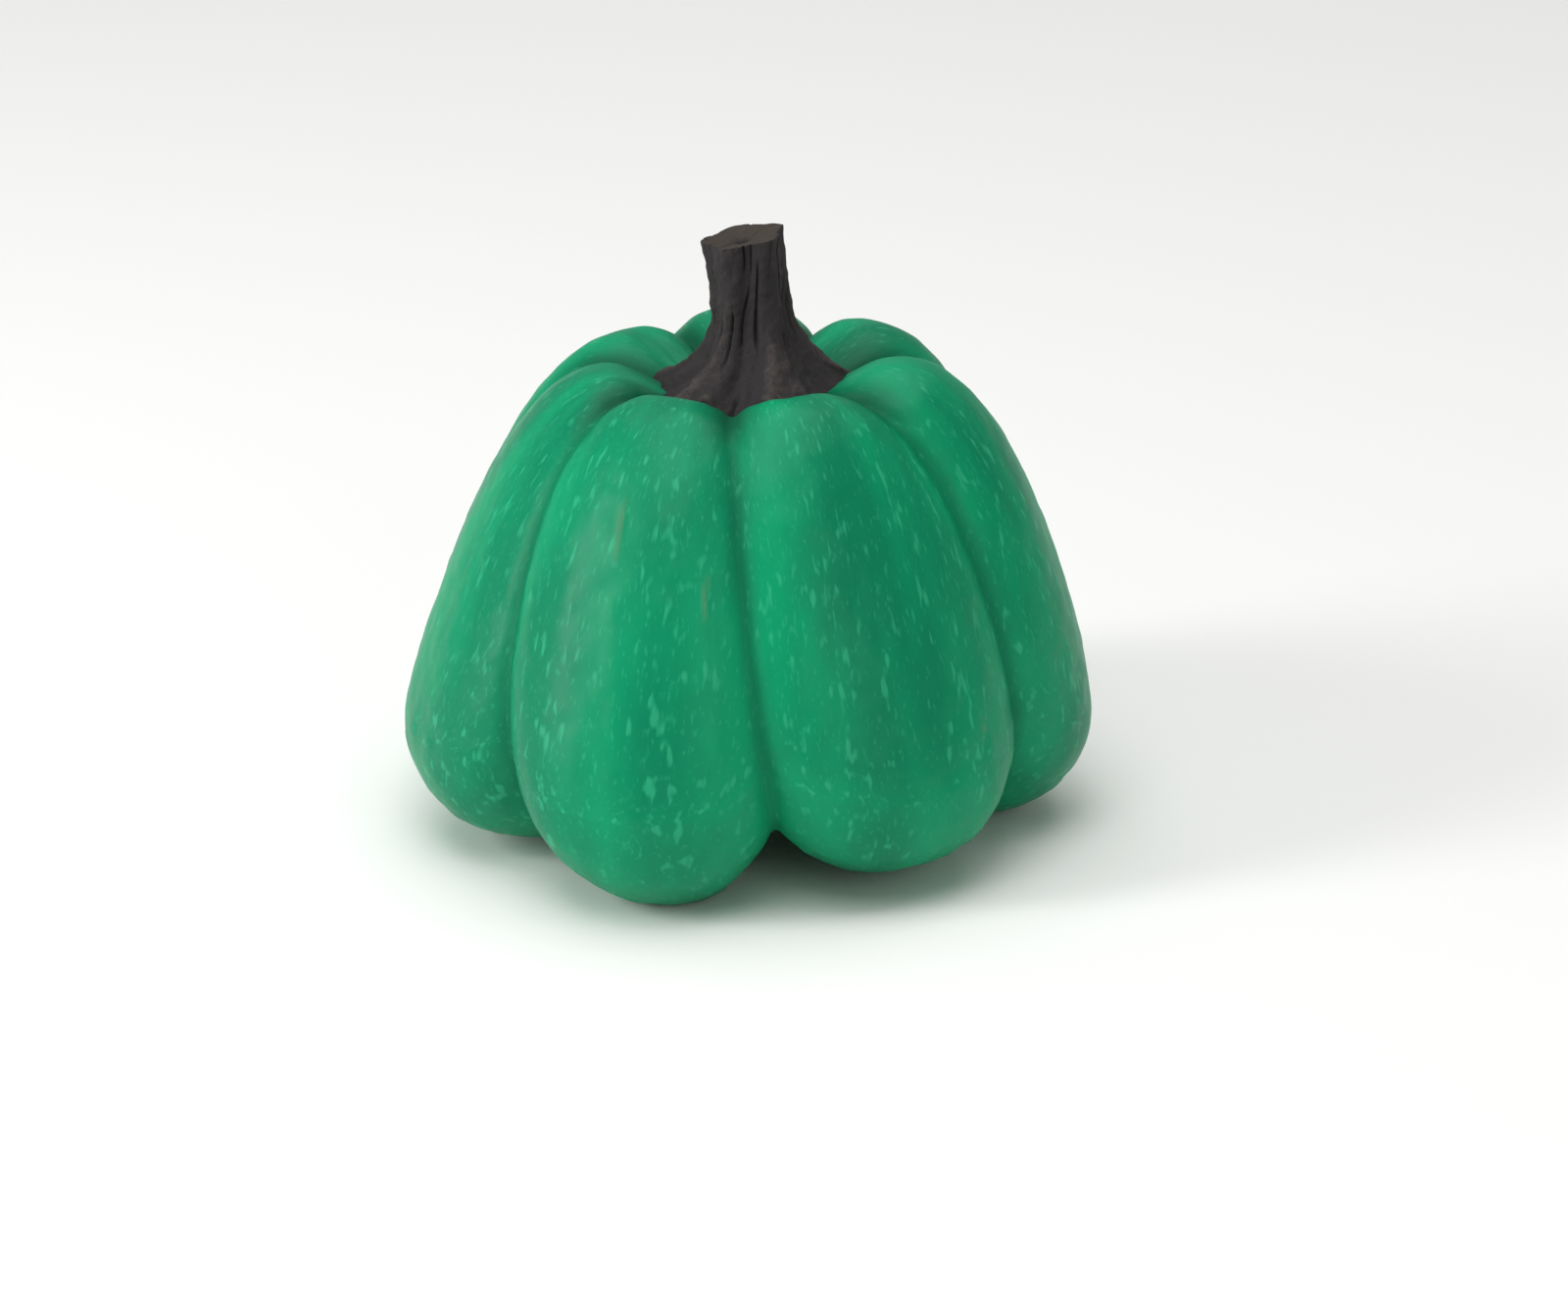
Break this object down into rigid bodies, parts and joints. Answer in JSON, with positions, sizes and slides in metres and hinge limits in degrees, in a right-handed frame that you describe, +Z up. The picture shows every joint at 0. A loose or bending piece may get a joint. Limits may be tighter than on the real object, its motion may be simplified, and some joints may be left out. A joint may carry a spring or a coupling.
{
  "type": "kabocha squash",
  "caption": "Whole green kabocha squash as picked: seven broad lobes with deep furrows and a dark corky flared stem, standing on three lobes.",
  "frame": {"origin": "middle of the bottom of the box round the squash, on the ground that it stands on", "axes": "+Z up towards the stem, -Y the front that the picture shows, +X to the right of that view"},
  "size_m": [0.1864, 0.1904, 0.1642],
  "materials": {
    "rind": null,
    "stem_cork": "dry matt cork, charcoal, cracked lengthways"
  },
  "bodies": {
    "root": {"squash_fruit": "rind", "squash_stem": "stem_cork"}
  },
  "joints": []
}
